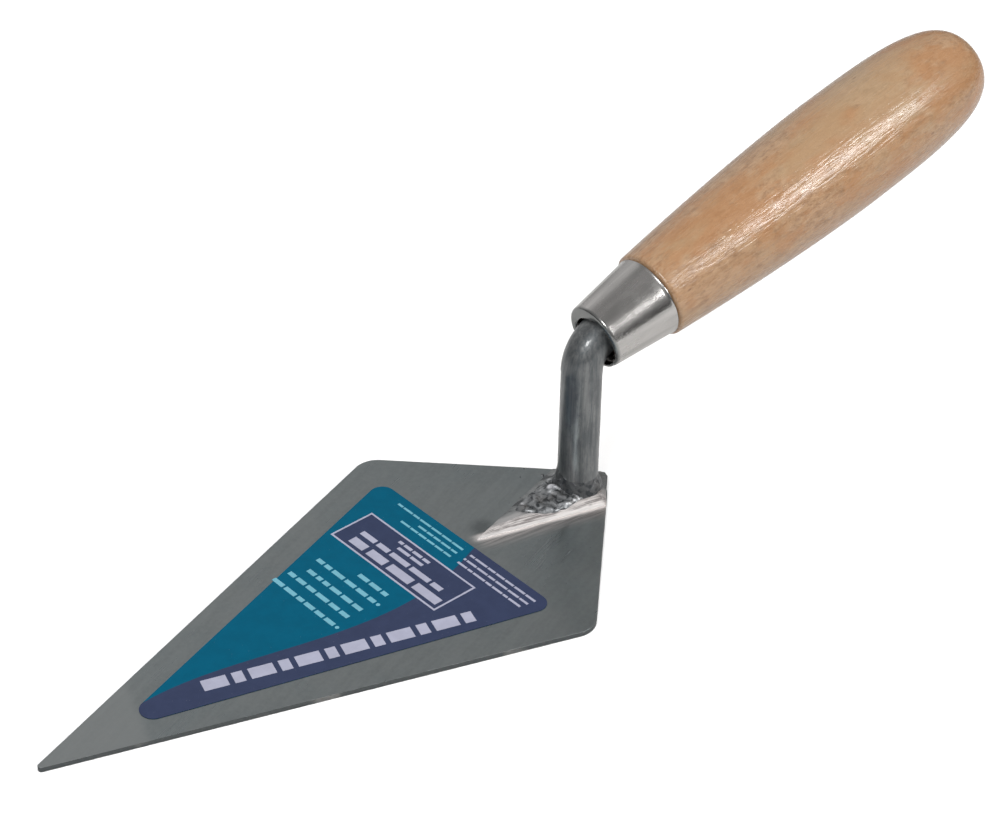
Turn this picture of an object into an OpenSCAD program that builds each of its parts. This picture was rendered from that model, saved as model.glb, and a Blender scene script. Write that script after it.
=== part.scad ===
// Pointing trowel: a kite-shaped steel blade on a welded, cranked tang, with a ferruled wooden handle.
// Origin: where the axis of the tang's riser meets the underside of the blade.
// The point of the blade lies towards -X, the handle rises towards +X, and +Z is up.

/* [Blade] */
// Length of the blade from point to heel, on its sharp outline
blade_l = 155.3; // [140:0.1:175]
// Width across the two side corners, on the sharp outline
blade_w = 78.2; // [70:0.2:90]
// Distance of the side corners from the heel
blade_waist = 39.6; // [36:0.2:46]
// Thickness of the plate
blade_t = 1.2; // [1:0.1:2]
// Radius of the point
tip_r = 0.8; // [0.6:0.1:2.5]
// Radius of the side corners
side_r = 5.5; // [3:0.5:9]
// Radius of the heel corner
heel_r = 8; // [4:0.5:9]

/* [Label] */
// Length of the label from its point to its base, on its sharp outline
label_l = 94.9; // [80:0.1:100]
// Width of the label's base, on its sharp outline
label_w = 58.3; // [44:0.1:60]
// Thickness of the film
label_t = 0.2; // [0.15:0.05:0.4]
// Radius of the label's point
label_tip_r = 3.1; // [1:0.1:5]
// Radius of the label's two base corners
label_r = 3; // [1:0.5:6]
// Distance from the point of the blade to the point of the label, on their sharp outlines
label_inset = 18.8; // [14:0.1:24]
// Sideways offset of the hand-applied label
label_shift = -0.7; // [-1:0.1:1]
// Angle by which the hand-applied label is turned
label_turn = 1; // [-1.5:0.1:1.5]

/* [Foot and welds] */
// Length of the foot in front of the riser's axis
foot_l = 29.8; // [26:0.1:36]
// Widest width of the foot
foot_w = 17.6; // [16:0.2:20]
// Thickness of the foot under the riser
foot_t = 1.4; // [1.2:0.1:3]
// Radius of the weld collar at its bottom
collar_r = 6; // [5.6:0.1:6.8]
// Height of the weld collar above the foot
collar_h = 3.8; // [1.6:0.1:5]
// Length of the weld run in front of the riser's axis
run_l = 16; // [12:0.5:20]
// Height of the weld run above the blade, where it meets the riser
run_h = 3.2; // [2.4:0.1:4]
// Number of ripples in the weld run
ripples = 6; // [4:1:9]

/* [Tang] */
// Diameter of the round bar
bar_d = 9.2; // [8:0.1:10]
// Distance of the riser's axis from the heel, on the sharp outline
riser_inset = 9.8; // [9.6:0.1:11]
// Height above the blade's top at which the riser's axis meets the handle's axis
crank_h = 38.7; // [32:0.1:60]
// Radius of the bend, on the bar's centreline
bend_r = 9.2; // [6.5:0.1:10]
// Rise of the handle from the plane of the blade
handle_rise = 14.3; // [8:0.1:22]
// Length of the spike from the crank to its point
spike_l = 78; // [60:1:90]
// Diameter of the spike at its point
spike_d = 4; // [3:0.2:6]

/* [Ferrule] */
// Distance of the ferrule's front rim from the crank
ferrule_at = 3.3; // [3:0.1:5]
// Length of the ferrule
ferrule_l = 16.6; // [13:0.1:20]
// Outside diameter of the ferrule at its front
ferrule_d1 = 15.2; // [15:0.1:17]
// Outside diameter of the ferrule at its back
ferrule_d2 = 19.1; // [18:0.1:20]
// Thickness of the sheet
ferrule_t = 0.9; // [0.7:0.05:1]

/* [Handle] */
// Length of wood that stands behind the ferrule
grip_l = 102.3; // [95:0.1:125]
// Diameter of the grip at its shoulder
grip_d1 = 20.5; // [20.4:0.1:22]
// Largest diameter of the grip
grip_d2 = 27.6; // [25:0.1:32]
// Distance of the largest diameter from the shoulder
grip_belly = 60; // [50:0.5:75]
// Length of the tenon inside the ferrule
tenon_l = 9; // [6:0.5:10]

/* [Hidden] */
$fn = 96;

arc_step = 15;              // angle between the points of a rounded corner
fit = 0.05;                 // clearance between pieces that are driven together
over = 1;                   // how far a cutting shape runs past the shape that it cuts
heel_x = riser_inset;
tip_x = heel_x - blade_l;
side_x = heel_x - blade_waist;
blade_top = blade_t;
foot_top = blade_top + foot_t;
foot_edge_t = 0.9;          // height of the foot's side faces
foot_tip_t = 0.4;           // height of the foot at its point
foot_inset = 0.3;           // how far the foot stays inside the edges of the heel
foot_chamfer = 1.6;         // width of the slope along the foot's edges
run_side = 0.8;             // sideways offset of the weld run
ripple_h = 0.25;            // depth of the hollows between its ripples
bar_r = bar_d / 2;
crank_z = blade_top + crank_h;
bend_angle = 90 - handle_rise;
bend_leg = bend_r * tan(bend_angle / 2);
bend_swell = 0.1;           // how much the bar thickens where it is bent
bend_lap = 0.4;             // how far the straight bar runs into the thicker bend
spike_at = 8;               // distance from the crank at which the bar starts to taper
lip_r = 0.9;                // outside radius of the ferrule's turned-in rim
mouth_r = 6.6;              // radius of the ferrule's open mouth
seam = 0.2;                 // gap between the ferrule and the wood's shoulder
grip_at = ferrule_at + ferrule_l + seam;
shoulder_round = 0.5;       // radius of the edge of the wood's shoulder
collar_power = 1.3;         // how soon the weld collar narrows above the foot
neck_power = 1.6;           // how soon the grip swells behind its shoulder
butt_power = 3.5;           // fullness of the grip's rounded end
curve_steps = 24;           // straight pieces in each curve of the grip's outline

// Points of the arc that rounds corner b, between corners a and c, with radius r.
function rounded_corner(a, b, c, r) =
    let (u = (a - b) / norm(a - b),
         v = (c - b) / norm(c - b),
         half = acos(u * v) / 2,
         bisector = (u + v) / norm(u + v),
         centre = b + bisector * r / sin(half),
         start = b + u * r / tan(half) - centre,
         turn = (cross(u, v) > 0 ? -1 : 1) * (180 - 2 * half),
         steps = ceil(abs(turn) / arc_step))
    [for (i = [0:steps])
        let (angle = turn * i / steps)
        centre + [start.x * cos(angle) - start.y * sin(angle),
                  start.x * sin(angle) + start.y * cos(angle)]];

// Outline through the given corners, each one rounded with its own radius.
function rounded_outline(corners, radii) =
    let (n = len(corners))
    [for (i = [0:n - 1])
        each rounded_corner(corners[(i + n - 1) % n], corners[i], corners[(i + 1) % n], radii[i])];

// Radius of the ferrule's outside at distance s from the crank.
function ferrule_r(s) = (ferrule_d1 + (ferrule_d2 - ferrule_d1) * (s - ferrule_at) / ferrule_l) / 2;

// Radius of the grip in front of its belly, where u runs from 0 at the shoulder to 1.
function neck_r(u) = grip_d2 / 2 - (grip_d2 - grip_d1) / 2 * pow(1 - u, neck_power);

// Places its children, drawn along +Z, along the axis of the handle, with z = 0 at the crank.
module on_handle_axis() {
    translate([0, 0, crank_z]) rotate([0, 90 - handle_rise, 0]) children();
}

module blade_outline() {
    corners = [[tip_x, 0], [side_x, -blade_w / 2], [heel_x, 0], [side_x, blade_w / 2]];
    polygon(rounded_outline(corners, [tip_r, side_r, heel_r, side_r]));
}

module blade() {
    color("slategray") linear_extrude(blade_t) blade_outline();
}

module label() {
    tip = [0, 0];
    near = [label_l, -label_w / 2];
    far = [label_l, label_w / 2];
    color("teal")
        translate([tip_x + label_inset, label_shift, blade_top])
            rotate(label_turn)
                linear_extrude(label_t)
                    polygon(rounded_outline([tip, near, far], [label_tip_r, label_r, label_r]));
}

// Outline of the foot: a small kite whose back edges follow the heel of the blade, drawn in by d.
module foot_outline(d) {
    heel = heel_x - foot_inset - d;
    half = foot_w / 2 - d;
    shoulder_x = heel - half * blade_waist / (blade_w / 2);
    corners = [[-foot_l + d, 0], [shoulder_x, -half], [heel, 0], [shoulder_x, half]];
    polygon(rounded_outline(corners, [foot_tip_t, 1, heel_r - foot_inset, 1]));
}

// The foot is level under the riser and falls away to its point, with sloping edges all round.
// Its underside lies on the blade, or the given depth below the blade's top.
module foot_shape(depth) {
    flat_x = -collar_r;
    bottom = blade_top - depth;
    intersection() {
        translate([0, 0, bottom]) hull() {
            linear_extrude(depth + foot_edge_t) foot_outline(0);
            linear_extrude(depth + foot_t) foot_outline(foot_chamfer);
        }
        translate([0, foot_w, 0]) rotate([90, 0, 0]) linear_extrude(2 * foot_w) polygon([
            [-foot_l - over, bottom],
            [-foot_l - over, blade_top + foot_tip_t],
            [-foot_l, blade_top + foot_tip_t],
            [flat_x, foot_top],
            [heel_x, foot_top],
            [heel_x, bottom]
        ]);
    }
}

module foot() {
    color("lightgray") foot_shape(0);
}

// Weld run: a rippled cone laid along the foot, so that only its back stands above the blade.
module rippled_cone() {
    front_r = 2.6;
    back_r = 5.6;
    front_h = 1.9;
    length = run_l - collar_r / 2;
    slope = atan((back_r - run_h - front_r + front_h) / length);
    points = ripples * 4;
    translate([-run_l, run_side, blade_top + front_h - front_r])
        rotate([0, 90 + slope, 0])
            rotate_extrude() polygon(concat(
                [for (i = [0:points])
                    let (u = i / points, ripple = ripple_h * (1 - abs(cos(180 * ripples * u))))
                    [front_r + (back_r - front_r) * u - ripple, length * u]],
                [[0, length], [0, -front_r / 2]]));
}

module front_weld() {
    color("dimgray") difference() {
        rippled_cone();
        foot_shape(over);
        translate([-foot_l - over, -foot_w, blade_top - 2 * foot_w])
            cube([foot_l + heel_x, 2 * foot_w, 2 * foot_w]);
        cylinder(r = collar_r, h = crank_z);
    }
}

// Weld collar: a bead that is widest on the foot and fades out up the riser.
module collar_weld() {
    steps = 6;
    color("dimgray") translate([0, 0, foot_top]) rotate_extrude() polygon(concat(
        [[bar_r, 0]],
        [for (i = [0:steps])
            let (u = i / steps)
            [bar_r + (collar_r - bar_r) * pow(1 - u, collar_power), collar_h * u]]));
}

module tang() {
    riser_top = crank_z - bend_leg;
    color("darkslategray") {
        translate([0, 0, foot_top]) cylinder(d = bar_d, h = riser_top + bend_lap - foot_top);
        translate([bend_r, 0, riser_top])
            rotate([90, 0, 0])
                rotate([0, 0, handle_rise + 90])
                    rotate_extrude(angle = bend_angle)
                        translate([bend_r, 0]) circle(d = bar_d + bend_swell);
        on_handle_axis() {
            translate([0, 0, bend_leg - bend_lap])
                cylinder(d = bar_d, h = spike_at + bend_lap - bend_leg);
            translate([0, 0, spike_at]) cylinder(d1 = bar_d, d2 = spike_d, h = spike_l - spike_at);
        }
    }
}

module ferrule() {
    back_s = ferrule_at + ferrule_l;
    lip_s = ferrule_at + lip_r;
    lip_centre = ferrule_r(lip_s) - lip_r;
    color("silver") on_handle_axis() rotate_extrude() polygon(concat(
        [[ferrule_r(back_s) - ferrule_t, back_s], [ferrule_r(back_s), back_s]],
        [for (a = [0:15:90]) [lip_centre + lip_r * cos(a), lip_s - lip_r * sin(a)]],
        [[mouth_r, ferrule_at], [mouth_r, ferrule_at + ferrule_t],
         [ferrule_r(ferrule_at + ferrule_t) - ferrule_t, ferrule_at + ferrule_t]]));
}

// Outline of the turned wood: the tenon, the shoulder, the swelling grip and its rounded end.
function handle_outline() =
    let (tenon_s = grip_at - tenon_l,
         tenon_gap = ferrule_t + fit,
         belly_s = grip_at + grip_belly,
         butt_l = grip_l - grip_belly)
    concat(
        [[0, tenon_s],
         [ferrule_r(tenon_s) - tenon_gap, tenon_s],
         [ferrule_r(grip_at) - tenon_gap, grip_at]],
        [for (a = [0:30:90])
            [grip_d1 / 2 - shoulder_round * (1 - sin(a)), grip_at + shoulder_round * (1 - cos(a))]],
        [for (i = [1:curve_steps])
            let (u = i / curve_steps) [neck_r(u), grip_at + shoulder_round * (1 - u) + grip_belly * u]],
        [for (i = [1:curve_steps])
            let (a = 90 * i / curve_steps)
            [i == curve_steps ? 0 : grip_d2 / 2 * pow(cos(a), 2 / butt_power),
             belly_s + butt_l * pow(sin(a), 2 / butt_power)]]);

module handle() {
    bore_r1 = bar_r + fit;
    bore_r2 = spike_d / 2 + fit;
    color("burlywood") on_handle_axis() difference() {
        rotate_extrude() polygon(handle_outline());
        translate([0, 0, spike_at]) cylinder(r1 = bore_r1, r2 = bore_r2, h = spike_l - spike_at + fit);
    }
}

blade();
label();
foot();
front_weld();
collar_weld();
tang();
ferrule();
handle();
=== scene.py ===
"""Looks of a pointing trowel: fine meshes, procedural materials, floor, lights and camera.

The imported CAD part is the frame. Sizes and places are read from its nodes, and what is added here
are surface details, given in millimetres.
"""

import math
import random

import bpy
from mathutils import Matrix, Vector, noise


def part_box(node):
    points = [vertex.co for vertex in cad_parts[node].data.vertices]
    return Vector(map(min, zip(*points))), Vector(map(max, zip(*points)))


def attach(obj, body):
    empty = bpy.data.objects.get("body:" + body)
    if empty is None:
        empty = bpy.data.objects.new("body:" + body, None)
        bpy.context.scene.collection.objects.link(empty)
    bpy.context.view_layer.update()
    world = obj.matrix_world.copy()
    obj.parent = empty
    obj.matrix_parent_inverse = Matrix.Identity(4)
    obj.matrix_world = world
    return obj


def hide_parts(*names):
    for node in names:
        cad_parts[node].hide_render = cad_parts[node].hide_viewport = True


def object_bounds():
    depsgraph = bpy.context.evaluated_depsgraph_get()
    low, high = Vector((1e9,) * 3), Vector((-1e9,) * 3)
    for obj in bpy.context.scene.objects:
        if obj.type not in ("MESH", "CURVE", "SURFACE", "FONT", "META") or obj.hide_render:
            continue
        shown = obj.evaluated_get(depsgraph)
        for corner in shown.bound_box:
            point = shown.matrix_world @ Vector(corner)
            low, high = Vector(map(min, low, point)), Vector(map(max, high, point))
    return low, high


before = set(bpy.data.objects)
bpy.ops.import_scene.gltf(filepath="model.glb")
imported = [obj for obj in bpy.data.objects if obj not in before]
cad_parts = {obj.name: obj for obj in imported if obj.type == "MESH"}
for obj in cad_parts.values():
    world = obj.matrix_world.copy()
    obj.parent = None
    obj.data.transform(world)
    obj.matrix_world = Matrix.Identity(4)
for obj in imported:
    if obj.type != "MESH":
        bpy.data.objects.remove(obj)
cad_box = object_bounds()

MM = 0.001
BODY = "root"


# ---------------------------------------------------------------- reading the frame

def points_of(node):
    """Every vertex of a CAD node."""
    return [vertex.co.copy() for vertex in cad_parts[node].data.vertices]


def centroid(node):
    """Centroid of a CAD node's surface."""
    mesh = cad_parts[node].data
    mesh.calc_loop_triangles()
    area = sum(triangle.area for triangle in mesh.loop_triangles)
    weighted = sum((triangle.center * triangle.area for triangle in mesh.loop_triangles), Vector())
    return weighted / area


def sharp_corners(node, count):
    """Places where a node's longest upright faces would meet, anticlockwise from the near side."""
    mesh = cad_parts[node].data
    mesh.calc_loop_triangles()
    walls = {}
    for triangle in mesh.loop_triangles:
        normal = triangle.normal
        if abs(normal.z) < 0.01:
            heading = round(math.degrees(math.atan2(normal.y, normal.x)))
            area = walls[heading][0] if heading in walls else 0
            walls[heading] = (area + triangle.area, normal.xy, mesh.vertices[triangle.vertices[0]].co.xy)
    longest = sorted(walls, key=lambda heading: walls[heading][0])[-count:]
    faces = [walls[heading][1:] for heading in sorted(longest)]
    corners = []
    for (n1, p1), (n2, p2) in zip(faces, faces[1:] + faces[:1]):
        corners.append(Matrix((n1, n2)).inverted() @ Vector((n1.dot(p1), n2.dot(p2))))
    return corners


def neighbours(corners, i):
    """Unit vectors from corner i to the corners before and after it."""
    before = (corners[i - 1] - corners[i]).normalized()
    after = (corners[(i + 1) % len(corners)] - corners[i]).normalized()
    return before, after


def corner_radius(node, corners, i):
    """Radius of a node's corner i, from how far its rounding stays inside the sharp corner."""
    before, after = neighbours(corners, i)
    half = before.angle(after) / 2
    outward = -(before + after).normalized()
    reach = max(point.xy.dot(outward) for point in points_of(node))
    return (corners[i].dot(outward) - reach) / (1 / math.sin(half) - 1)


BLADE_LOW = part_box("blade")[0]
BLADE_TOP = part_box("blade")[1].z
LENGTH = cad_box[1].x - cad_box[0].x
CENTRE = (cad_box[0] + cad_box[1]) / 2
FOOT_NEAR, FOOT_HEEL, _, FOOT_TIP = [corner.to_3d() for corner in sharp_corners("foot", 4)]
TANG_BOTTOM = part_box("tang")[0].z
BAR_RADIUS = max(abs(point.y) for point in points_of("tang") if point.z < TANG_BOTTOM + 0.01 * MM)

# The handle's axis runs through the centroids of the two turned pieces, and meets the riser at x = 0.
HANDLE_AXIS = (centroid("handle") - centroid("ferrule")).normalized()
CRANK = centroid("ferrule") - HANDLE_AXIS * (centroid("ferrule").x / HANDLE_AXIS.x)
FAR = Vector((0, 1, 0))
UP = Vector((0, 0, 1))
# The handle's own frame: z along its axis from the crank, x on its underside, y to the far side.
HANDLE_PLACE = Matrix.Translation(CRANK) @ Matrix(
    (FAR.cross(HANDLE_AXIS), FAR, HANDLE_AXIS)).transposed().to_4x4()


def axis_points(node):
    """(distance from the axis, distance along it from the crank) of every vertex of a node."""
    local = [HANDLE_PLACE.inverted() @ point for point in points_of(node)]
    return [(math.hypot(point.x, point.y), point.z) for point in local]


def axis_span(points):
    """Least and greatest distance along the axis of such points."""
    return min(s for _, s in points), max(s for _, s in points)


# ---------------------------------------------------------------- curves and outlines

def blend(low, high, share):
    """Number between low and high."""
    return low + (high - low) * share


def smooth(low, high, value):
    """0 below low, 1 above high, and a smooth step between them."""
    share = min(max((value - low) / (high - low), 0), 1)
    return share * share * (3 - 2 * share)


def turns(count):
    """Angles that share out a whole turn."""
    return [math.tau * k / count for k in range(count)]


def arc(across, along, radius, first, last, steps):
    """Points of a circle round (across, along), from one angle to another in degrees."""
    angles = [math.radians(blend(first, last, k / steps)) for k in range(steps + 1)]
    return [(across + radius * math.cos(a), along + radius * math.sin(a)) for a in angles]


def level_heading(turn):
    """Horizontal unit vector, turned from +X."""
    return Vector((math.cos(turn), math.sin(turn), 0))


def outline_of(node, corners):
    """Outline of a node, anticlockwise: its sharp corners, each rounded as it is on the node."""
    step = math.radians(6)
    outline = []
    for i, corner in enumerate(corners):
        radius = corner_radius(node, corners, i)
        before, after = neighbours(corners, i)
        half = before.angle(after) / 2
        centre = corner + (before + after).normalized() * radius / math.sin(half)
        start = corner + before * radius / math.tan(half) - centre
        turn = math.pi - 2 * half
        steps = math.ceil(turn / step)
        for k in range(steps + 1):
            outline.append(centre + Matrix.Rotation(turn * k / steps, 2) @ start)
    return outline


def stepped(outline, step):
    """The outline with extra points, so that none are further apart than step."""
    points = []
    for a, b in zip(outline, outline[1:] + outline[:1]):
        count = max(1, math.ceil((b - a).length / step))
        points += [a.lerp(b, k / count) for k in range(count)]
    return points


def resample(points, step):
    """Points at equal distances along a line of points."""
    lengths = [0]
    for a, b in zip(points, points[1:]):
        lengths.append(lengths[-1] + (b - a).length)
    count = math.ceil(lengths[-1] / step)
    result = []
    i = 0
    for k in range(count + 1):
        target = lengths[-1] * k / count
        while i < len(points) - 2 and lengths[i + 1] < target:
            i += 1
        share = (target - lengths[i]) / (lengths[i + 1] - lengths[i])
        result.append(points[i].lerp(points[i + 1], share))
    return result


def lumps(point, size, seed=0):
    """Smooth noise between about -1 and 1, with features of the given size."""
    return noise.noise(point / size + Vector((seed * 7.3, seed * 3.1, seed * 5.7)))


def drawn_out(point, share):
    """The point with its height scaled by share, for noise that is drawn out along z."""
    return Vector((point.x, point.y, point.z * share))


def rough(point, size, seed=0, octaves=4):
    """Noise with finer and finer detail, between about -1 and 1."""
    return sum(lumps(point, size / 2 ** k, seed + k) / 2 ** k for k in range(octaves)) / 1.6


# ---------------------------------------------------------------- meshes

def grid_faces(rows, columns, wrap_rows=False, wrap_columns=True):
    """Four-sided faces over a grid of vertices that is numbered row by row."""
    faces = []
    for i in range(rows if wrap_rows else rows - 1):
        for j in range(columns if wrap_columns else columns - 1):
            i2 = (i + 1) % rows
            j2 = (j + 1) % columns
            faces.append((i * columns + j, i * columns + j2, i2 * columns + j2, i2 * columns + j))
    return faces


def make_mesh(name, vertices, faces):
    """Mesh with smooth shading."""
    mesh = bpy.data.meshes.new(name)
    mesh.from_pydata([tuple(v) for v in vertices], [], faces)
    mesh.shade_smooth()
    mesh.validate()
    return mesh


def turned(name, rings, ends):
    """Closed mesh through rings of points. ends holds the middle point of each open end, or is empty
    for a section that closes on itself."""
    columns = len(rings[0])
    vertices = [point for ring in rings for point in ring]
    faces = grid_faces(len(rings), columns, wrap_rows=not ends)
    if ends:
        first, last = len(vertices), len(vertices) + 1
        vertices += ends
        tail = (len(rings) - 1) * columns
        for j in range(columns):
            j2 = (j + 1) % columns
            faces.append((first, j2, j))
            faces.append((last, tail + j, tail + j2))
    return make_mesh(name, vertices, faces)


def slab(name, outline, low, high, ease):
    """Flat plate between two heights, with its top and bottom edges eased."""
    def ring(inset, height):
        points = []
        for i, point in enumerate(outline):
            before, after = neighbours(outline, i)
            inward = Vector((before.y - after.y, after.x - before.x)).normalized()
            points.append((point + inward * inset).to_3d() + UP * height)
        return points

    sides = arc(ease, low + ease, ease, -90, -180, steps=2)
    sides += arc(ease, high - ease, ease, 180, 90, steps=2)
    rings = [ring(inset, height) for inset, height in sides]
    count = len(outline)
    faces = grid_faces(len(rings), count)
    faces.append(tuple(reversed(range(count))))
    faces.append(tuple(range((len(rings) - 1) * count, len(rings) * count)))
    mesh = make_mesh(name, [point for points in rings for point in points], faces)
    for face in mesh.polygons:
        face.use_smooth = len(face.vertices) == 4
    return mesh


def heightfield(name, rows, floor):
    """Closed mesh whose top is a grid of points, and whose skirt and bottom are at height floor."""
    columns = len(rows[0])
    vertices = [point for row in rows for point in row]
    bottom = len(vertices)
    vertices += [Vector((point.x, point.y, floor)) for point in vertices]
    top = grid_faces(len(rows), columns, wrap_columns=False)
    faces = top + [tuple(bottom + i for i in reversed(face)) for face in top]
    last = (len(rows) - 1) * columns
    rim = list(range(columns)) + [i * columns + columns - 1 for i in range(1, len(rows))]
    rim += [last + j for j in reversed(range(columns - 1))]
    rim += [i * columns for i in reversed(range(1, len(rows) - 1))]
    for a, b in zip(rim, rim[1:] + rim[:1]):
        faces.append((b, a, bottom + a, bottom + b))
    return make_mesh(name, vertices, faces)


def add_object(name, data):
    """New object in the scene."""
    thing = bpy.data.objects.new(name, data)
    bpy.context.scene.collection.objects.link(thing)
    return thing


def add_piece(mesh, materials, nodes=(), place=Matrix.Identity(4)):
    """Puts a mesh into the scene as a piece of the trowel that stands for the given CAD nodes."""
    piece = add_object(mesh.name, mesh)
    piece.matrix_world = place
    for material in materials:
        mesh.materials.append(material)
    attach(piece, BODY)
    if nodes:
        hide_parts(*nodes)
    return piece


# ---------------------------------------------------------------- materials

class Nodes:
    """A node tree that short calls add to. Each call gives the new node's output."""

    def __init__(self, owner, shader, coordinates):
        owner.use_nodes = True
        self.tree = owner.node_tree
        self.shader = self.tree.nodes[shader]
        self.place = self.tree.nodes.new("ShaderNodeTexCoord").outputs[coordinates]

    def fill(self, node, inputs):
        """Sets a node's inputs to values, colours or the outputs of other nodes."""
        for key, value in inputs.items():
            socket = node.inputs[key]
            if isinstance(value, bpy.types.NodeSocket):
                self.tree.links.new(value, socket)
            elif socket.type == "RGBA":
                socket.default_value = (*value, 1)
            else:
                socket.default_value = value
        return node

    def finish(self, **settings):
        """Sets inputs of the shader, with _ for each space in their names."""
        self.fill(self.shader, {key.replace("_", " "): value for key, value in settings.items()})

    def stretch(self, scale, turn=0):
        """Object coordinates turned about z and then scaled."""
        turned_place = self.fill(self.tree.nodes.new("ShaderNodeMapping"),
                                 {"Vector": self.place, "Rotation": (0, 0, -turn)})
        node = self.fill(self.tree.nodes.new("ShaderNodeMapping"),
                         {"Vector": turned_place.outputs[0], "Scale": scale})
        return node.outputs[0]

    def noise(self, size, vector=None, detail=4, roughness=0.5, distortion=0):
        """Noise from 0 to 1 with features of the given size."""
        node = self.fill(self.tree.nodes.new("ShaderNodeTexNoise"), {
            "Vector": vector or self.place, "Scale": 1 / size, "Detail": detail,
            "Roughness": roughness, "Distortion": distortion})
        return node.outputs[0]

    def cells(self, size, vector=None):
        """Distance from the nearest of many scattered points."""
        node = self.fill(self.tree.nodes.new("ShaderNodeTexVoronoi"), {
            "Vector": vector or self.place, "Scale": 1 / size})
        return node.outputs["Distance"]

    def step(self, value, low, high, to_low=0.0, to_high=1.0):
        """A smooth step: to_low where value is below low, and to_high where it is above high."""
        node = self.tree.nodes.new("ShaderNodeMapRange")
        node.interpolation_type = "SMOOTHSTEP"
        inputs = {"Value": value, "From Min": low, "From Max": high, "To Min": to_low, "To Max": to_high}
        if low > high:
            inputs.update({"From Min": high, "From Max": low, "To Min": to_high, "To Max": to_low})
        return self.fill(node, inputs).outputs[0]

    def math(self, operation, a, b):
        """Result of a sum between two numbers or outputs."""
        node = self.tree.nodes.new("ShaderNodeMath")
        node.operation = operation
        return self.fill(node, {0: a, 1: b}).outputs[0]

    def plus(self, a, b):
        return self.math("ADD", a, b)

    def times(self, a, b):
        return self.math("MULTIPLY", a, b)

    def mix(self, share, a, b):
        """Colour between a and b."""
        node = self.tree.nodes.new("ShaderNodeMix")
        node.data_type = "RGBA"
        return self.fill(node, {0: share, 6: a, 7: b}).outputs[2]

    def tint(self, tone, colour, value, low, high, amount=1.0):
        """Tone with a colour mixed in: none where value is low, and its full amount where it is high."""
        return self.mix(self.step(value, low, high, 0, amount), tone, colour)

    def beyond(self, point, direction):
        """Signed distance past a point in a direction."""
        node = self.tree.nodes.new("ShaderNodeVectorMath")
        node.operation = "DOT_PRODUCT"
        along = self.fill(node, {0: self.place, 1: tuple(direction)}).outputs["Value"]
        return self.math("SUBTRACT", along, point.dot(direction))

    def nearness(self, point, radius):
        """1 at a point, and smoothly falling to 0 at the given distance from it."""
        node = self.tree.nodes.new("ShaderNodeVectorMath")
        node.operation = "DISTANCE"
        distance = self.fill(node, {0: self.place, 1: tuple(point)}).outputs["Value"]
        return self.step(distance, radius, 0)

    def bump(self, height, depth, under=None):
        """Normal with a relief of the given depth, on top of the relief under it."""
        inputs = {"Height": height, "Distance": depth}
        if under:
            inputs["Normal"] = under
        return self.fill(self.tree.nodes.new("ShaderNodeBump"), inputs).outputs[0]

    def camera_ray(self):
        """1 for what the camera itself sees, and 0 for reflections and bounced light."""
        return self.tree.nodes.new("ShaderNodeLightPath").outputs["Is Camera Ray"]


class Surface(Nodes):
    """A material, with settings that go to its shader."""

    def __init__(self, name, **settings):
        self.material = bpy.data.materials.new(name)
        super().__init__(self.material, "Principled BSDF", "Object")
        self.finish(**settings)


FOOT_EDGE = (FOOT_NEAR - FOOT_TIP).normalized()
FOOT_EDGE_TURN = math.atan2(FOOT_EDGE.y, FOOT_EDGE.x)


def off_foot_edge(surface):
    """Signed distance outwards from the foot's near edge."""
    return surface.beyond(FOOT_TIP, Vector((FOOT_EDGE.y, -FOOT_EDGE.x, 0)))


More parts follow.
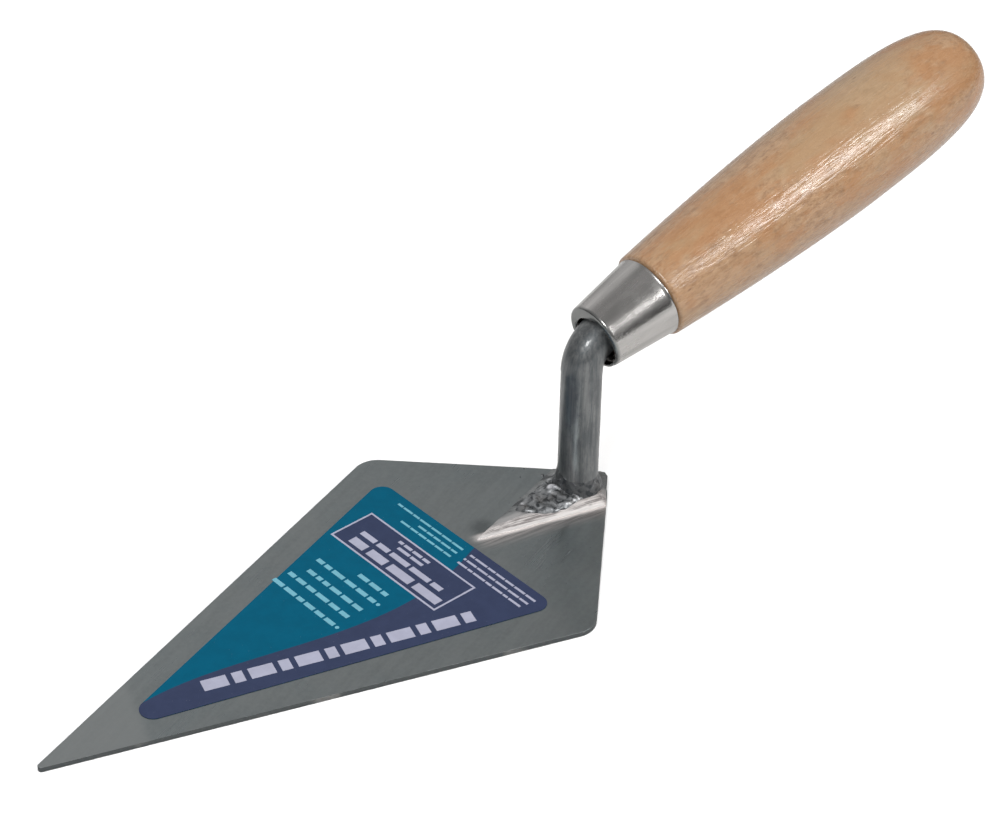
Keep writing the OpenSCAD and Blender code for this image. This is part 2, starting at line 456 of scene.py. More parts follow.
def brushed_steel():
    """Semi-polished plate with a fine grain, smudges, a lighter point, and grinding beside the foot."""
    surface = Surface("brushed_steel")
    grain_turn = math.radians(20)
    fine = surface.noise(0.35 * MM, surface.stretch((0.03, 1, 1), grain_turn), detail=3)
    broad = surface.noise(1.8 * MM, surface.stretch((0.10, 1, 1), grain_turn), detail=5, roughness=0.65)
    speckle = surface.noise(0.9 * MM, detail=4, roughness=0.7)
    smudge = surface.noise(14 * MM, detail=5, distortion=0.6)
    tone = surface.tint((0.31, 0.345, 0.355), (0.355, 0.38, 0.385), smudge, 0.3, 0.7)
    tone = surface.tint(tone, (0.275, 0.30, 0.305), broad, 0.35, 0.7, 0.55)
    tone = surface.tint(tone, (0.41, 0.44, 0.44), speckle, 0.35, 0.7, 0.35)
    point_zone = surface.beyond(Vector((BLADE_LOW.x + 24.5 * MM, 0, 0)), Vector((-0.94, 0.34, 0)))
    tone = surface.tint(tone, (0.45, 0.47, 0.47), point_zone, -1 * MM, 1.5 * MM, 0.5)
    # Grinding of the foot has scuffed a strip of the plate in front of its near edge.
    away = off_foot_edge(surface)
    reach = surface.beyond(FOOT_TIP, FOOT_EDGE)
    scuff_turn = FOOT_EDGE_TURN + math.radians(8)
    streaks = surface.noise(0.5 * MM, surface.stretch((0.05, 1, 1), scuff_turn), detail=4, roughness=0.65)
    ragged = surface.plus(away, surface.times(streaks, 2.2 * MM))
    beside = surface.times(surface.step(away, -2.5 * MM, -1 * MM), surface.step(reach, -2 * MM, 3 * MM))
    strip = surface.times(beside, surface.step(ragged, 6.4 * MM, 2.0 * MM))
    bare = surface.times(beside, surface.step(ragged, 2.3 * MM, 1.2 * MM))
    scuffed = surface.tint((0.36, 0.345, 0.34), (0.80, 0.74, 0.72), streaks, 0.35, 0.65)
    tone = surface.mix(surface.times(strip, 0.8), tone, scuffed)
    tone = surface.mix(bare, tone, (0.76, 0.71, 0.69))
    # The plate is darker in a patch beside the far side of the foot's point.
    dark_patch = surface.nearness(FOOT_TIP + Vector((4.2, 2.6, 1.2)) * MM, 5.5 * MM)
    dark_patch = surface.times(dark_patch, surface.step(speckle, 0.2, 0.6, 0.4, 1))
    tone = surface.tint(tone, (0.10, 0.11, 0.115), dark_patch, 0.1, 0.9, 0.5)
    roughness = surface.step(smudge, 0.25, 0.75, 0.27, 0.36)
    roughness = surface.plus(roughness, surface.step(fine, 0.2, 0.8, -0.03, 0.05))
    roughness = surface.plus(roughness, surface.times(strip, 0.14))
    waves = surface.bump(surface.noise(45 * MM, detail=1), 0.12 * MM)
    surface.finish(Base_Color=tone, Roughness=roughness, Metallic=surface.step(bare, 0, 1, 1, 0.6),
                   Normal=surface.bump(fine, 0.004 * MM, surface.bump(broad, 0.006 * MM, waves)))
    return surface.material


def sheared_edge():
    """The plate's narrow sides: steel painted dark as shade, with upright shear marks and a few bright
    rubs.
    """
    surface = Surface("sheared_edge", Metallic=1.0)
    marks = surface.noise(0.5 * MM, surface.stretch((1, 1, 0.2)), detail=3)
    rubs = surface.step(surface.noise(9 * MM, detail=3), 0.5, 0.7)
    # Painted shade: the edge steel is given a very dark tone.
    tone = surface.mix(marks, (0.085, 0.095, 0.1), (0.15, 0.16, 0.16))
    tone = surface.mix(rubs, tone, (0.24, 0.24, 0.235))
    surface.finish(Base_Color=tone, Roughness=surface.step(marks, 0.2, 0.8, 0.4, 0.6),
                   Normal=surface.bump(marks, 0.02 * MM))
    return surface.material


def printed_film(name, colour, sheen=0.36):
    """Ink on a thin film: nearly even, with a faint mottle, dust and hair scratches."""
    surface = Surface(name, Specular_IOR_Level=0.05)
    mottle = surface.noise(3 * MM, detail=5, roughness=0.6)
    dust = surface.step(surface.cells(1.3 * MM), 0.07, 0.03, 0, 0.25)
    dark = tuple(c * 0.9 for c in colour)
    tone = surface.tint(dark, colour, mottle, 0.3, 0.7)
    tone = surface.mix(dust, tone, tuple(blend(c, 1, 0.25) for c in colour))
    scratches = surface.noise(0.4 * MM, surface.stretch((0.02, 1, 1), math.radians(62)), detail=2)
    roughness = surface.step(scratches, 0.3, 0.8, sheen - 0.05, sheen + 0.1)
    wrinkles = surface.bump(surface.noise(7 * MM, detail=2), 0.03 * MM)
    surface.finish(Base_Color=tone, Roughness=roughness,
                   Normal=surface.bump(mottle, 0.008 * MM, wrinkles))
    return surface.material


def ground_steel():
    """Steel that is ground bright with coarse scratches along the near edge, with a painted highlight
    along the lowest line of that flank, and stained elsewhere.
    """
    surface = Surface("ground_steel")
    along = surface.stretch((0.06, 1, 1), FOOT_EDGE_TURN)
    scratches = surface.noise(0.3 * MM, along, detail=4, roughness=0.65)
    along = surface.stretch((0.4, 1, 1), FOOT_EDGE_TURN)
    patches = surface.noise(2.2 * MM, along, detail=5, roughness=0.7)
    away = off_foot_edge(surface)
    ragged = surface.plus(away, surface.times(patches, 1.2 * MM))
    flank = surface.step(ragged, -2.9 * MM, -1.9 * MM)
    stained = surface.tint((0.26, 0.27, 0.275), (0.42, 0.43, 0.43), scratches, 0.3, 0.7)
    stained = surface.tint(stained, (0.10, 0.105, 0.11), patches, 0.5, 0.62, 0.75)
    polished = surface.beyond(FOOT_TIP + Vector((6 * MM, 0, 0)), Vector((1, 0, 0)))
    polished = surface.times(surface.step(polished, -2 * MM, 2 * MM),
                             surface.step(ragged, -5.2 * MM, -3.4 * MM))
    stained = surface.mix(surface.times(polished, 0.8), stained, (0.74, 0.72, 0.715))
    bright = surface.tint((0.25, 0.23, 0.225), (0.70, 0.66, 0.645), scratches, 0.38, 0.62)
    bright = surface.tint(bright, (0.24, 0.22, 0.215), patches, 0.53, 0.68, 0.8)
    # Painted highlight: a line along the lowest edge of the near flank is lightened further.
    rim = surface.step(away, -0.9 * MM, -0.5 * MM, 0, 0.7)
    bright = surface.mix(rim, bright, (0.80, 0.77, 0.755))
    tone = surface.mix(flank, stained, bright)
    surface.finish(Base_Color=tone, Metallic=surface.step(flank, 0, 1, 1, 0.5),
                   Roughness=surface.step(patches, 0.3, 0.7, 0.34, 0.5),
                   Normal=surface.bump(scratches, 0.05 * MM))
    return surface.material


def weld_metal(name, grey, crest, glaze, painted_glint=None):
    """Weld bead: metal of the given grey under slag, with painted shade in its hollows and painted
    highlights on its crests, both following its relief. An optional (place, radius) gives a spot
    painted nearly white as a highlight."""
    surface = Surface(name, Metallic=0.95, Coat_Weight=glaze, Coat_Roughness=0.12)
    scale = surface.noise(1.5 * MM, detail=4, roughness=0.55, distortion=0.8)
    heat = surface.noise(4 * MM, detail=3)
    metal = (grey, grey * 1.03, grey * 1.06)
    # Painted shade: where the relief is low, the bead is darkened nearly to black.
    tone = surface.tint((0.06, 0.065, 0.07), metal, scale, 0.36, 0.58)
    tone = surface.tint(tone, (grey * 0.8, grey * 0.73, grey * 0.67), heat, 0.5, 0.75, 0.4)
    # Painted highlight: where the relief is high, the crests are lightened to the crest grey.
    tone = surface.tint(tone, (crest, crest, crest * 1.03), scale, 0.62, 0.74)
    # Painted highlight: an optional spot is painted nearly white.
    if painted_glint:
        tone = surface.mix(surface.step(surface.nearness(*painted_glint), 0.2, 0.6), tone, (0.88, 0.88, 0.92))
    surface.finish(Base_Color=tone, Roughness=surface.step(scale, 0.3, 0.7, 0.52, 0.38),
                   Normal=surface.bump(scale, 0.12 * MM))
    return surface.material


def scaled_bar():
    """Drawn bar under dark mill scale and thin lacquer, with lengthwise marks and worn grey streaks."""
    surface = Surface("scaled_bar", Metallic=0.85, Coat_Weight=0.65, Coat_Roughness=0.12)
    draw = surface.noise(0.7 * MM, surface.stretch((1, 1, 0.05)), detail=4, roughness=0.6)
    blotch = surface.noise(3.2 * MM, surface.stretch((1, 1, 0.35)), detail=5, roughness=0.65)
    pits = surface.step(surface.cells(1.1 * MM), 0.16, 0.08)
    tone = surface.tint((0.125, 0.134, 0.138), (0.23, 0.235, 0.235), draw, 0.3, 0.7)
    tone = surface.tint(tone, (0.075, 0.085, 0.093), blotch, 0.38, 0.62, 0.55)
    tone = surface.mix(surface.times(pits, 0.4), tone, (0.04, 0.045, 0.05))
    relief = surface.bump(draw, 0.035 * MM, surface.bump(blotch, 0.05 * MM))
    surface.finish(Base_Color=tone, Roughness=surface.step(blotch, 0.3, 0.7, 0.42, 0.56), Normal=relief)
    return surface.material


def satin_nickel(front):
    """Drawn and plated sheet with soft streaks along its length, and painted shade on the rolled lip in
    front.
    """
    surface = Surface("satin_nickel", Metallic=1.0)
    streaks = surface.noise(0.45 * MM, surface.stretch((1, 1, 0.03)), detail=4, roughness=0.6)
    bands = surface.noise(2.2 * MM, surface.stretch((1, 1, 0.06)), detail=2)
    haze = surface.noise(5 * MM, detail=5)
    tone = surface.tint((0.45, 0.44, 0.425), (0.57, 0.55, 0.535), bands, 0.3, 0.7)
    # Painted shade: the front millimetre of the sleeve, its rolled lip and mouth, is tinted dark grey.
    behind = surface.beyond(Vector((0, 0, front)), Vector((0, 0, 1)))
    tone = surface.tint(tone, (0.25, 0.255, 0.25), behind, 1.0 * MM, 0.2 * MM)
    roughness = surface.step(streaks, 0.25, 0.75, 0.16, 0.24)
    roughness = surface.plus(roughness, surface.step(haze, 0.4, 0.7, 0, 0.10))
    ripples = surface.bump(surface.noise(0.8 * MM, detail=2), 0.012 * MM)
    relief = surface.bump(streaks, 0.003 * MM, surface.bump(bands, 0.006 * MM, ripples))
    surface.finish(Base_Color=tone, Roughness=roughness, Normal=relief)
    return surface.material


def lacquered_wood():
    """Light hardwood: short fine grain, warm and dull patches and dark flecks, under gloss lacquer."""
    surface = Surface("lacquered_wood", Roughness=0.55, Specular_IOR_Level=0.3,
                      Coat_Weight=1.0, Coat_IOR=1.5)
    grain = surface.noise(0.8 * MM, surface.stretch((1, 1, 0.22)), detail=6, roughness=0.75,
                          distortion=0.5)
    fibre = surface.noise(0.55 * MM, surface.stretch((1, 1, 0.09)), detail=2)
    mottle = surface.noise(1.7 * MM, surface.stretch((1, 1, 0.65)), detail=6, roughness=0.75)
    warm = surface.noise(14 * MM, surface.stretch((1, 1, 0.6)), detail=6, roughness=0.7)
    dull = surface.noise(20 * MM, surface.stretch((1, 1, 0.45)), detail=5, roughness=0.65)
    tone = surface.tint((0.21, 0.113, 0.053), (0.345, 0.206, 0.113), grain, 0.34, 0.66)
    tone = surface.tint(tone, (0.365, 0.226, 0.126), mottle, 0.42, 0.60, 0.75)
    tone = surface.tint(tone, (0.31, 0.145, 0.055), warm, 0.45, 0.56, 0.65)
    tone = surface.tint(tone, (0.315, 0.217, 0.122), dull, 0.46, 0.60, 0.55)
    flecks = surface.step(surface.cells(5 * MM, surface.stretch((1, 1, 0.4))), 0.07, 0.04, 0, 0.6)
    tone = surface.mix(flecks, tone, (0.13, 0.06, 0.028))
    ridges = surface.bump(fibre, 0.13 * MM, surface.bump(grain, 0.03 * MM))
    surface.finish(Base_Color=tone, Normal=ridges, Coat_Normal=ridges,
                   Coat_Roughness=surface.step(fibre, 0.35, 0.65, 0.12, 0.30))
    return surface.material


def pale_floor():
    """Plain matt floor, which reflections and bounced light see darker than the camera does."""
    surface = Surface("pale_floor", Roughness=0.9, Specular_IOR_Level=0.0)
    surface.finish(Base_Color=surface.mix(surface.camera_ray(), (0.58, 0.58, 0.575), (0.95, 0.95, 0.95)))
    return surface.material


# ---------------------------------------------------------------- blade and label

def build_blade():
    """The kite-shaped plate, with slightly worn edges."""
    outline = stepped(outline_of("blade", sharp_corners("blade", 4)), 1.5 * MM)
    worn = 0.03 * MM
    outline = [point + worn * Vector((lumps(point.to_3d(), 2 * MM), lumps(point.to_3d(), 2 * MM, 5)))
               for point in outline]
    mesh = slab("blade_plate", outline, BLADE_LOW.z, BLADE_TOP, ease=0.1 * MM)
    for face in mesh.polygons:
        face.material_index = 0 if abs(face.normal.z) > 0.9 else 1
    add_piece(mesh, [brushed_steel(), sheared_edge()], ["blade"])


class Label:
    """The label's own plane: x runs from its sharp point to its base, y to the far side, both as
    shares of the label's length."""

    film = 0.1 * MM
    ink = 0.012 * MM

    def __init__(self):
        corners = sharp_corners("label", 3)
        near, far, self.point = corners
        middle = (near + far) / 2
        self.length = (middle - self.point).length
        self.along = (middle - self.point).normalized()
        self.across = Vector((-self.along.y, self.along.x))
        self.outline = outline_of("label", corners)
        self.top = BLADE_TOP + self.film
        self.prints = []

    def at(self, x, y):
        """Place of a point that is given as shares."""
        return self.point + (self.along * x + self.across * y) * self.length

    def share(self, point):
        """Shares of a place, the reverse of at."""
        offset = (point - self.point) / self.length
        return Vector((offset.dot(self.along), offset.dot(self.across)))

    def print(self, outline, material_index, level):
        """Adds a flat printed shape, on top of the shapes of lower levels."""
        self.prints.append((outline, material_index, level))

    def bar(self, x1, x2, y1, y2, material_index, level):
        """Adds a printed rectangle."""
        self.print([self.at(x1, y1), self.at(x2, y1), self.at(x2, y2), self.at(x1, y2)],
                   material_index, level)

    def words(self, x1, x2, y1, y2, material_index, level, seed, letters):
        """Adds a line of plain bars, each of about letters times the line's height."""
        draw = random.Random(seed)
        unit = x2 - x1
        y = y1
        while y < y2 - unit:
            end = min(y + unit * draw.uniform(letters * 0.6, letters * 1.6), y2)
            self.bar(x1, x2, y, end, material_index, level)
            y = end + unit * 0.55


NAVY, PALE, PALE_TEAL = 0, 1, 2


def print_band(label):
    """The dark band along the near edge, bounded by one smooth curve."""
    start, first_pull = Vector((-0.014, 0.013)), Vector((0.320, 0.111))
    second_pull, end = Vector((0.631, -0.215)), Vector((1.031, -0.012))
    curve = []
    for k in range(41):
        t = k / 40
        curve.append(start * (1 - t) ** 3 + first_pull * 3 * t * (1 - t) ** 2
                     + second_pull * 3 * t * t * (1 - t) + end * t ** 3)

    def boundary(x):
        """Height of the curve at x."""
        after = next((i for i, point in enumerate(curve) if point.x >= x), len(curve) - 1)
        a, b = curve[max(after - 1, 0)], curve[max(after, 1)]
        return blend(a.y, b.y, (x - a.x) / (b.x - a.x))

    border = [label.share(point) for point in stepped(label.outline, 0.5 * MM)]
    below = [point.y < boundary(point.x) for point in border]
    first = next(i for i in range(len(border)) if below[i] and not below[i - 1])
    near_side = [point for point in border[first:] + border[:first] if point.y < boundary(point.x)]
    top = [point for point in curve if near_side[0].x < point.x < near_side[-1].x]
    shape = near_side + list(reversed(top))
    label.print([label.at(point.x, point.y) for point in shape], NAVY, 1)


def print_blocks(label):
    """A plain row of long and short blocks, like a course of bricks, along the dark band."""
    start, end = Vector((0.233, -0.009)), Vector((0.850, -0.217))
    along = (end - start).normalized()
    across = Vector((-along.y, along.x))
    half_height, gap = 0.018, 0.0128
    lengths = [0.0574, 0.0251]
    reach, i = 0.0, 0
    while reach + lengths[i % 2] <= (end - start).length:
        a = start + along * reach
        b = a + along * lengths[i % 2]
        corners = [a - across * half_height, b - across * half_height,
                   b + across * half_height, a + across * half_height]
        label.print([label.at(p.x, p.y) for p in corners], PALE, 2)
        reach += lengths[i % 2] + gap
        i += 1


def print_panel(label):
    """A dark panel with a thin pale frame, and four lines of bars in it."""
    x1, x2, y1, y2 = 0.780, 0.905, -0.141, 0.226
    line = 0.005
    label.bar(x1, x2, y1, y2, PALE, 2)
    label.bar(x1 + line, x2 - line, y1 + line, y2 - line, NAVY, 3)
    lines = [(0.12, 0.31, 0.04, 0.96, 2.4), (0.42, 0.54, 0.12, 0.89, 3.0),
             (0.65, 0.72, 0.38, 0.65, 3.0), (0.79, 0.86, 0.37, 0.66, 3.0)]
    for seed, (top, bottom, left, right, letters) in enumerate(lines):
        label.words(blend(x1, x2, top), blend(x1, x2, bottom), blend(y1, y2, left), blend(y1, y2, right),
                    PALE, 4, seed, letters)


def print_lines(label):
    """Two short paragraphs of bars with a dot each, and fine print along the base."""
    height, fine, dot_radius, indent = 0.012, 0.0062, 0.005, 0.011
    dark_end, light_start = -0.044, -0.018
    paragraphs = [([0.573, 0.614, 0.652], -0.034, [0.182, 0.177, 0.168]),
                  ([0.693, 0.729], -0.032, [0.177, 0.085])]
    seed = 10
    for columns, left, rights in paragraphs:
        x, y = columns[0] + height / 2, left - indent
        dot = [label.at(x + dot_radius * math.cos(turn), y + dot_radius * math.sin(turn))
               for turn in turns(12)]
        label.print(dot, PALE_TEAL, 2)
        for x, right in zip(columns, rights):
            label.words(x, x + height, left, right, PALE_TEAL, 2, seed, letters=2.2)
            seed += 1
    for x, y1, y2 in ((0.933, -0.256, 0.166), (0.952, -0.261, 0.125), (0.971, -0.265, 0.212)):
        label.words(x, x + fine, y1, dark_end, PALE, 2, seed, letters=4)
        label.words(x, x + fine, light_start, y2, PALE_TEAL, 2, seed + 1, letters=4)
        seed += 2


def build_label():
    """The film on the blade, and one mesh of all that is printed on it."""
    label = Label()
    film = slab("label_film", stepped(label.outline, 2 * MM), BLADE_TOP, label.top, ease=0.03 * MM)
    add_piece(film, [printed_film("teal_print", (0.0, 0.074, 0.132))], ["label"])
    print_band(label)
    print_blocks(label)
    print_panel(label)
    print_lines(label)
    vertices, faces, indices = [], [], []
    for outline, material_index, level in label.prints:
        start, count = len(vertices), len(outline)
        for height in (label.top - label.film / 2, label.top + level * label.ink):
            vertices += [point.to_3d() + UP * height for point in outline]
        faces.append(tuple(start + j for j in reversed(range(count))))
        faces.append(tuple(start + count + j for j in range(count)))
        faces += [tuple(start + i for i in face) for face in grid_faces(2, count)]
        indices += [material_index] * (count + 2)
    mesh = make_mesh("label_print", vertices, faces)
    mesh.polygons.foreach_set("material_index", indices)
    mesh.shade_flat()
    inks = [printed_film("navy_print", (0.029, 0.038, 0.078)),
            printed_film("pale_print", (0.31, 0.315, 0.40)),
            printed_film("pale_teal_print", (0.13, 0.33, 0.41))]
    add_piece(mesh, inks)


# ---------------------------------------------------------------- foot and welds

def build_foot():
    """Low spade under the tang: a steep ground flank all round, and a top that falls to the point."""
    near, heel, tip = FOOT_NEAR, FOOT_HEEL, FOOT_TIP
    foot_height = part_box("foot")[1].z - BLADE_TOP
    flat_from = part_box("collar_weld")[0].x
    edge_height, tip_height, flank_width = 0.12 * MM, 0.45 * MM, 2.2 * MM
    near_slope, far_slope, heel_slope = 0.96, 0.5, 0.70
    x1, x2 = tip.x + 0.3 * MM, heel.x - 1.2 * MM
    rows = []
    stations, columns = 150, 48

    def half_width(x):
        end = tip.x if x < near.x else heel.x
        return -near.y * (end - x) / (end - near.x)

    for i in range(stations + 1):
        x = blend(x1, x2, i / stations)
        width = half_width(x)
        height = blend(tip_height, foot_height, min(max((x - tip.x) / (flat_from - tip.x), 0), 1))
        row = []
        for j in range(columns + 1):
            across = -math.cos(math.pi * j / columns)
            y = across * width
            edge = (width - abs(y)) * (near_slope if y < 0 else far_slope)
            rise = min(edge, (heel.x - x) * heel_slope) / flank_width
            z = blend(edge_height, height, smooth(-0.35, 1.15, rise) * 1.06 - 0.06)
            scratch = rough(Vector((x * 0.1, y + 0.27 * x, 0)), 0.8 * MM, 3) * 0.03 * MM
            row.append(Vector((x, y, BLADE_TOP + max(z, 0) + scratch)))
        rows.append(row)
    mesh = heightfield("foot_spade", rows, BLADE_TOP - 0.1 * MM)
    add_piece(mesh, [ground_steel()], ["foot"])


def spatter(centre, radius, seed):
    """A small round drop that sits on a surface, as vertices and faces."""
    rings, columns = 5, 10
    vertices = [centre + UP * radius]
    for i in range(1, rings):
        tilt = math.radians(120) * i / (rings - 1)
        for turn in turns(columns):
            direction = level_heading(turn) * math.sin(tilt) + UP * math.cos(tilt)
            vertices.append(centre + direction * radius * (1 + 0.15 * lumps(direction, 1, seed)))
    faces = [(0, 1 + j, 1 + (j + 1) % columns) for j in range(columns)]
    faces += [tuple(1 + i for i in face) for face in grid_faces(rows=rings - 1, columns=columns)]
    faces.append(tuple(reversed(range(1 + (rings - 2) * columns, 1 + (rings - 1) * columns))))
    return vertices, faces


def build_front_weld():
    """Rough run of weld over the foot, with crowded ripples, a raised crest with a painted highlight and
    drops of spatter.
    """
    low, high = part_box("front_weld")
    run = -low.x
    peak = high.z - BLADE_TOP
    stations, columns = 120, 70
    rows = []
    crest, crest_height, crest_radius = Vector((-0.42 * run, 0.06 * run)), 1.1 * MM, 1.5 * MM
    groove, groove_depth, groove_radius = Vector((-0.30 * run, 0.16 * run)), 1.0 * MM, 1.1 * MM
    ripple_step = 2.1 * MM
    for i in range(stations + 1):
        u = i / stations
        x = blend(-run * 1.03, BAR_RADIUS * 0.4, u)
        far = blend(2.2 * MM, 7.2 * MM, u ** 0.75)
        near = blend(1.6 * MM, -5.6 * MM, 1 - math.exp(-5.5 * u))
        height = blend(1.8 * MM, peak + 0.2 * MM, smooth(0, 0.85, u))
        row = []
        for j in range(columns + 1):
            across = -math.cos(math.pi * j / columns)
            y = blend(near, far, (across + 1) / 2)
            crown = max(1 - abs(across) ** 3, 0) ** 0.4 * smooth(-0.02, 0.08, u)
            place = Vector((x, y, 0))
            phase = x * 0.8 + 0.5 * y + 1.2 * MM * lumps(place, 3 * MM)
            ripple = math.cos(math.tau * phase / ripple_step)
            z = height * crown
            z += crown * (0.55 * MM * rough(place, 2.6 * MM, 1, octaves=2) + 0.12 * MM * ripple)
            z += crown * 0.06 * MM * rough(place, 0.8 * MM, 2)
            z += crest_height * math.exp(-((place.xy - crest).length / crest_radius) ** 2)
            z -= groove_depth * math.exp(-((place.xy - groove).length / groove_radius) ** 2)
            edge = 0.35 * MM * lumps(place, 1.7 * MM, 6)
            row.append(Vector((x, y + edge * abs(across), BLADE_TOP + max(z, 0) - 0.04 * MM)))
        rows.append(row)
    mesh = heightfield("front_weld_run", rows, BLADE_TOP - 0.3 * MM)
    # The spot over the crest is painted nearly white as a highlight.
    painted_glint = (Vector((crest.x, crest.y, high.z)), 1.9 * MM)
    metal = weld_metal("weld_metal", grey=0.33, crest=0.75, glaze=0.15, painted_glint=painted_glint)
    add_piece(mesh, [metal], ["front_weld"])
    draw = random.Random(4)
    vertices, faces = [], []
    for k in range(12):
        distance = run * draw.uniform(0.25, 1.15)
        turn = math.radians(draw.uniform(95, 205))
        radius = draw.uniform(0.14, 0.42) * MM
        place = Vector((distance * math.cos(turn), distance * math.sin(turn) * 0.8, BLADE_TOP))
        if distance > 0.8 * run:
            radius *= 0.6
        drop_vertices, drop_faces = spatter(place, radius, k)
        faces += [tuple(len(vertices) + i for i in face) for face in drop_faces]
        vertices += drop_vertices
    add_piece(make_mesh("weld_spatter", vertices, faces), [metal])


def build_collar_weld():
    """Uneven bead round the foot of the riser, which climbs higher in front of it."""
    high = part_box("collar_weld")[1]
    reach = high.x
    rings, columns = 26, 120
    base = BLADE_TOP + 0.6 * MM
    rows = []
    for i in range(rings + 1):
        share = i / rings
        ring = []
        for turn in turns(columns):
            heading = level_heading(turn)
            climb = 1 + 0.35 * max(0, heading.dot(Vector((-0.6, 0.8, 0)))) ** 2
            place = heading * reach + UP * share * 4 * MM
            bulge = (reach - BAR_RADIUS) * (1 - share) ** 1.1 * (1 + 0.35 * lumps(place, 2.4 * MM, 8))
            relief = 0.22 * MM * rough(place, 1.6 * MM, 9) + 0.1 * MM * rough(place, 0.7 * MM, 11)
            bulge += (1 - share) * relief
            radius = BAR_RADIUS - 0.05 * MM + max(bulge, 0)
            height = blend(base, high.z, share) + (high.z - base) * (climb - 1) * share
            ring.append(heading * radius + UP * height)
        rows.append(ring)
    ends = [UP * base, UP * high.z]
    add_piece(turned("collar_weld_bead", rows, ends),
              [weld_metal("burnt_weld_metal", grey=0.15, crest=0.4, glaze=0.2)], ["collar_weld"])


# ---------------------------------------------------------------- tang, ferrule and handle

def tang_path():
    """The bar from below the blade's weld to its spike's end: (place, heading, radius, swell, flat) at
    each step. flat is how far it is flattened inside and outside its bend."""
    riser_top = max(p.z for p in points_of("tang") if p.x < 0.005 * MM - BAR_RADIUS)
    leg = CRANK.z - riser_top
    bend = math.acos(HANDLE_AXIS.z)
    bend_radius = leg / math.tan(bend / 2)
    spike = axis_points("tang")
    _, spike_end = axis_span(spike)
    spike_radius = max(r for r, s in spike if s > spike_end - 0.01 * MM)
    taper_from = max(s for r, s in spike if abs(r - BAR_RADIUS) < 0.01 * MM)
    start = TANG_BOTTOM - 0.5 * MM
    step = 0.4 * MM
    path = []
    count = math.ceil((riser_top - start) / step)
    for k in range(count):
        path.append((UP * blend(start, riser_top, k / count), UP, BAR_RADIUS, 0, 0))
    count = math.ceil(bend * bend_radius / step)
    for k in range(count):
        turn = bend * k / count
        place = Vector((bend_radius * (1 - math.cos(turn)), 0, riser_top + bend_radius * math.sin(turn)))
        heading = Vector((math.sin(turn), 0, math.cos(turn)))
        path.append((place, heading, BAR_RADIUS, 0.05 * MM, 0.12 * MM * math.sin(math.pi * k / count)))
    count = 40
    for k in range(count + 1):
        s = blend(leg, spike_end, (k / count) ** 1.5)
        taper = max((s - taper_from) / (spike_end - taper_from), 0)
        path.append((CRANK + HANDLE_AXIS * s, HANDLE_AXIS, blend(BAR_RADIUS, spike_radius, taper), 0, 0))
    return path


def build_tang():
    """Bent round bar, drawn along its path, with a slight swell and flattening where it is bent."""
    path = tang_path()
    columns = 96
    rings = []
    for place, heading, radius, swell, flat in path:
        inside = FAR.cross(heading)
        ring = []
        for turn in turns(columns):
            direction = inside * math.cos(turn) + FAR * math.sin(turn)
            point = place + direction * radius
            marks = Vector((direction.x * 4, direction.y * 4, place.z / (8 * MM)))
            relief = 0.05 * MM * lumps(drawn_out(point, 0.3), 3 * MM, 2)
            relief += 0.03 * MM * rough(marks, 1, 4)
            relief += swell - flat * abs(math.cos(turn)) + flat * 0.5 * abs(math.sin(turn))
            ring.append(place + direction * (radius + relief))
        rings.append(ring)
    ends = [path[0][0], path[-1][0]]
    add_piece(turned("tang_bar", rings, ends), [scaled_bar()], ["tang"])


def revolve(profile, columns, relief, shift=None):
    """Rings of points round the z axis through (radius, height) points. relief gives the extra radius
    at a point, and shift moves the ring of profile point i sideways."""
    rings = []
    for i, (radius, height) in enumerate(profile):
        centre = shift(i) if shift else Vector()
        ring = []
        for turn in turns(columns):
            direction = level_heading(turn)
            point = direction * radius + UP * height
            ring.append(point + direction * relief(point, direction) + centre)
        rings.append(ring)
    return rings


def build_ferrule():
    """Tapered sheet-metal sleeve: rolled front rim round an off-centre mouth, and a small back bead."""
    points = axis_points("ferrule")
    front, back = axis_span(points)
    back_radius = max(r for r, s in points)
    mouth_radius = min(r for r, _ in points) - 0.6 * MM
    mouth_offset = Vector((1.15, -0.25, 0)) * MM
    sheet = back_radius - min(r for r, s in points if s > back - 0.01 * MM)
    roll = 0.9 * MM
    front_radius = max(r for r, s in points if s < front + roll + 0.1 * MM)
    bead, bead_rise, groove = 0.5 * MM, 0.10 * MM, 0.04 * MM

    def outside(s):
        """Radius of the tapered wall."""
        return blend(front_radius, back_radius, (s - front - roll) / (back - front - roll))

    profile = arc(outside(back) + bead_rise - bead / 2, back - bead / 2, bead / 2, 90, -45, steps=3)
    steps = 30
    for k in range(steps + 1):
        s = blend(back - bead * 1.25, front + roll, k / steps)
        profile.append((outside(s) - (groove if k == 0 else 0), s))
    profile += arc(front_radius - roll, front + roll, roll, -7.5, -90, steps=11)
    wall = len(profile)
    profile += arc(mouth_radius + sheet / 2, front + sheet / 2, sheet / 2, -90, -270, steps=8)
    lip = range(wall, len(profile))
    for s in (front + roll + 0.4 * MM, blend(front, back, 0.3), back):
        profile.append((outside(s) - sheet, s))

    def shift(i):
        return mouth_offset if i in lip else Vector()

    def dents(point, _):
        return 0.02 * MM * lumps(drawn_out(point, 0.3), 4 * MM, 12)

    mesh = turned("ferrule_sleeve", revolve(profile, 128, dents, shift), [])
    add_piece(mesh, [satin_nickel(front)], ["ferrule"], HANDLE_PLACE)


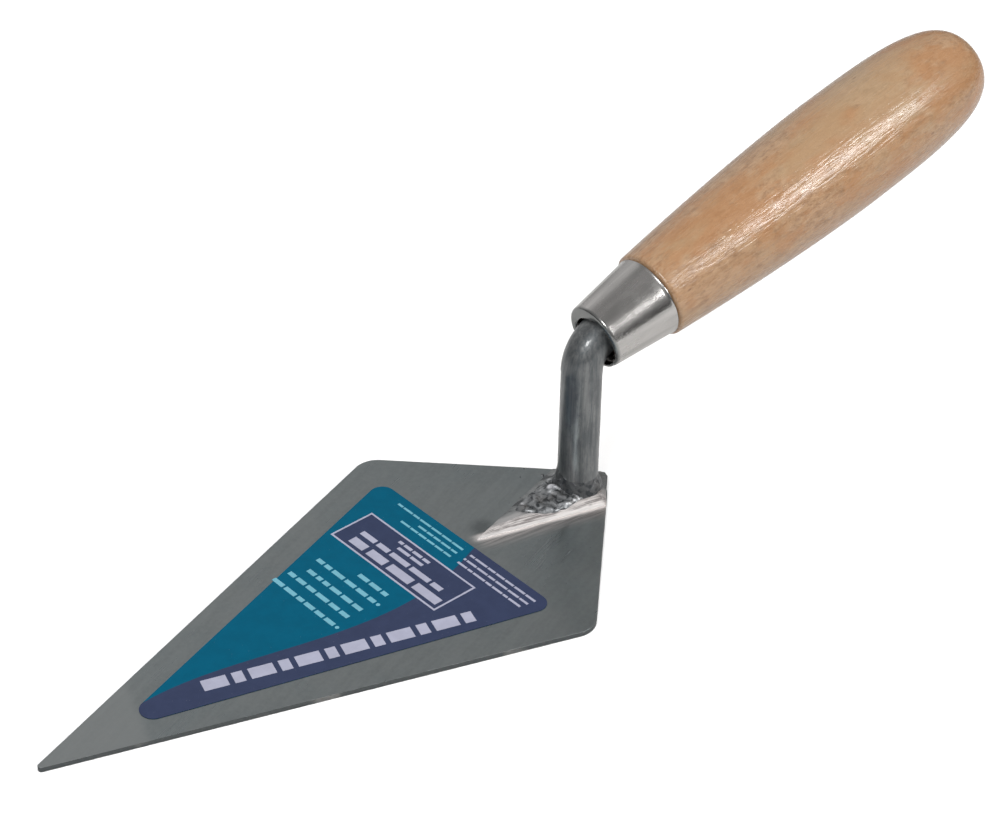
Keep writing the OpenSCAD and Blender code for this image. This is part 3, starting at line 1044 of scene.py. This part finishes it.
def grip_profile():
    """Outline of the wood from its tenon to its butt, as (radius, distance from the crank)."""
    points = axis_points("handle")
    _, ferrule_back = axis_span(axis_points("ferrule"))
    belly_radius, belly = max(points)
    tenon, butt = axis_span(points)
    shoulder = min(s for _, s in points if s > ferrule_back + 0.05 * MM)
    shoulder_radius = max(r for r, s in points if s < shoulder + 0.6 * MM)
    tenon_radius = max(r for r, s in points if s < tenon + 0.01 * MM)
    tenon_end_radius = max(r for r, s in points if r < shoulder_radius - 1.2 * MM and s <= shoulder)
    ease = 0.5 * MM
    flare, fullness = 1.6, 2 / 3.5
    curve = [Vector(point)
             for point in arc(shoulder_radius - ease, shoulder + ease, ease, -90, 0, steps=8)]
    steps = 200
    for k in range(1, steps + 1):
        radius = belly_radius - (belly_radius - shoulder_radius) * (1 - k / steps) ** flare
        curve.append(Vector((radius, blend(shoulder + ease, belly, k / steps))))
    steps = 600
    for k in range(1, steps + 1):
        turn = math.radians(90 * k / steps)
        curve.append(Vector((belly_radius * max(math.cos(turn), 0) ** fullness,
                             belly + (butt - belly) * math.sin(turn) ** fullness)))
    curve = resample(curve, 0.6 * MM)[:-1]
    inside = [(tenon_radius, tenon), (blend(tenon_radius, tenon_end_radius, 0.5), (tenon + shoulder) / 2),
              (tenon_end_radius, shoulder)]
    return inside + [tuple(point) for point in curve], tenon, butt


def build_handle():
    """Turned grip, very slightly out of round, with faint turning marks and raised grain."""
    profile, tenon, butt = grip_profile()

    def relief(point, direction):
        out_of_round = 0.12 * MM * lumps(Vector((direction.x, direction.y, point.z / (60 * MM))), 1.2, 3)
        marks = 0.006 * MM * math.sin(math.tau * point.z / (1.9 * MM))
        grain = 0.012 * MM * rough(drawn_out(point, 0.06), 1.2 * MM, 6)
        return out_of_round + marks + grain

    rings = revolve(profile, 160, relief)
    ends = [UP * tenon, UP * butt]
    add_piece(turned("wooden_grip", rings, ends), [lacquered_wood()], ["handle"], HANDLE_PLACE)


# ---------------------------------------------------------------- studio

def direction_of(azimuth, elevation):
    """Unit vector towards a place round the object: azimuth 0 is -Y and 90 is +X."""
    a, e = math.radians(azimuth), math.radians(elevation)
    return Vector((math.sin(a) * math.cos(e), -math.cos(a) * math.cos(e), math.sin(e)))


def add_light(name, azimuth, elevation, distance, width, height, radiance, glossy=True):
    """Soft rectangular light that faces the trowel. radiance is its brightness to the eye."""
    lamp = bpy.data.lights.new(name, "AREA")
    lamp.shape = "RECTANGLE"
    lamp.size, lamp.size_y = width, height
    lamp.energy = radiance * math.pi * width * height
    light = add_object(name, lamp)
    towards = direction_of(azimuth, elevation)
    light.location = CENTRE + towards * distance
    light.rotation_euler = towards.to_track_quat("Z", "Y").to_euler()
    light.visible_glossy = glossy


def build_world():
    """Dim grey room, darkest at the horizon, with a paler wall behind the trowel. To the camera alone
    it is as pale as the floor."""
    world = bpy.data.worlds.new("studio")
    bpy.context.scene.world = world
    room = Nodes(world, "Background", "Generated")
    horizon, ceiling, wall = 0.08, 0.32, 0.35
    upwards = room.beyond(Vector(), UP)
    backwards = room.beyond(Vector(), direction_of(175, 15))
    brightness = room.plus(room.step(upwards, 0, 0.45, horizon, ceiling),
                           room.step(backwards, 0.70, 0.95, 0, wall))
    room.finish(Color=(1, 1, 1), Strength=room.step(room.camera_ray(), 0, 1, brightness, 1))


def build_floor():
    """Floor that fills the picture and ends beyond it, so that low reflections meet the dark horizon."""
    side = 2.4 * LENGTH
    drop = 0.02 * MM
    corners = [(-side, -side, -drop), (side, -side, -drop), (side, side, -drop), (-side, side, -drop)]
    floor = add_object("floor", make_mesh("floor", corners, [(0, 1, 2, 3)]))
    floor.data.materials.append(pale_floor())


def build_camera():
    """Long lens from the front left, aimed a little left of and below the trowel's middle."""
    azimuth, elevation, roll = -41.50, 35.53, 1.183
    aim_right, aim_up, distance = -0.0332 * LENGTH, -0.0364 * LENGTH, 2.358 * LENGTH
    back = direction_of(azimuth, elevation)
    lens = bpy.data.cameras.new("camera")
    lens.sensor_width = 36.0
    lens.lens = 103.97
    lens.clip_start, lens.clip_end = 0.05 * LENGTH, 200 * LENGTH
    camera = add_object("camera", lens)
    turn = back.to_track_quat("Z", "Y").to_matrix() @ Matrix.Rotation(math.radians(roll), 3, "Z")
    right, up = turn.col[0], turn.col[1]
    aim = CENTRE + right * aim_right + up * aim_up
    camera.matrix_world = Matrix.Translation(aim + back * distance) @ turn.to_4x4()
    bpy.context.scene.camera = camera


def build_studio():
    """Floor, room, camera, and soft lights from the front, the right and above."""
    bpy.context.scene.view_settings.view_transform = "Standard"
    build_world()
    build_floor()
    build_camera()
    add_light("key", 27, 36, 1.0, 0.33, 0.19, 21)
    add_light("front_fill", 2, 21, 1.0, 0.30, 0.20, 9, glossy=False)
    add_light("front_glint", -62, 41, 1.0, 0.24, 0.20, 26)
    add_light("ceiling_fill", 0, 89, 2.0, 5.0, 5.0, 0.92, glossy=False)


build_blade()
build_label()
build_foot()
build_front_weld()
build_collar_weld()
build_tang()
build_ferrule()
build_handle()
build_studio()
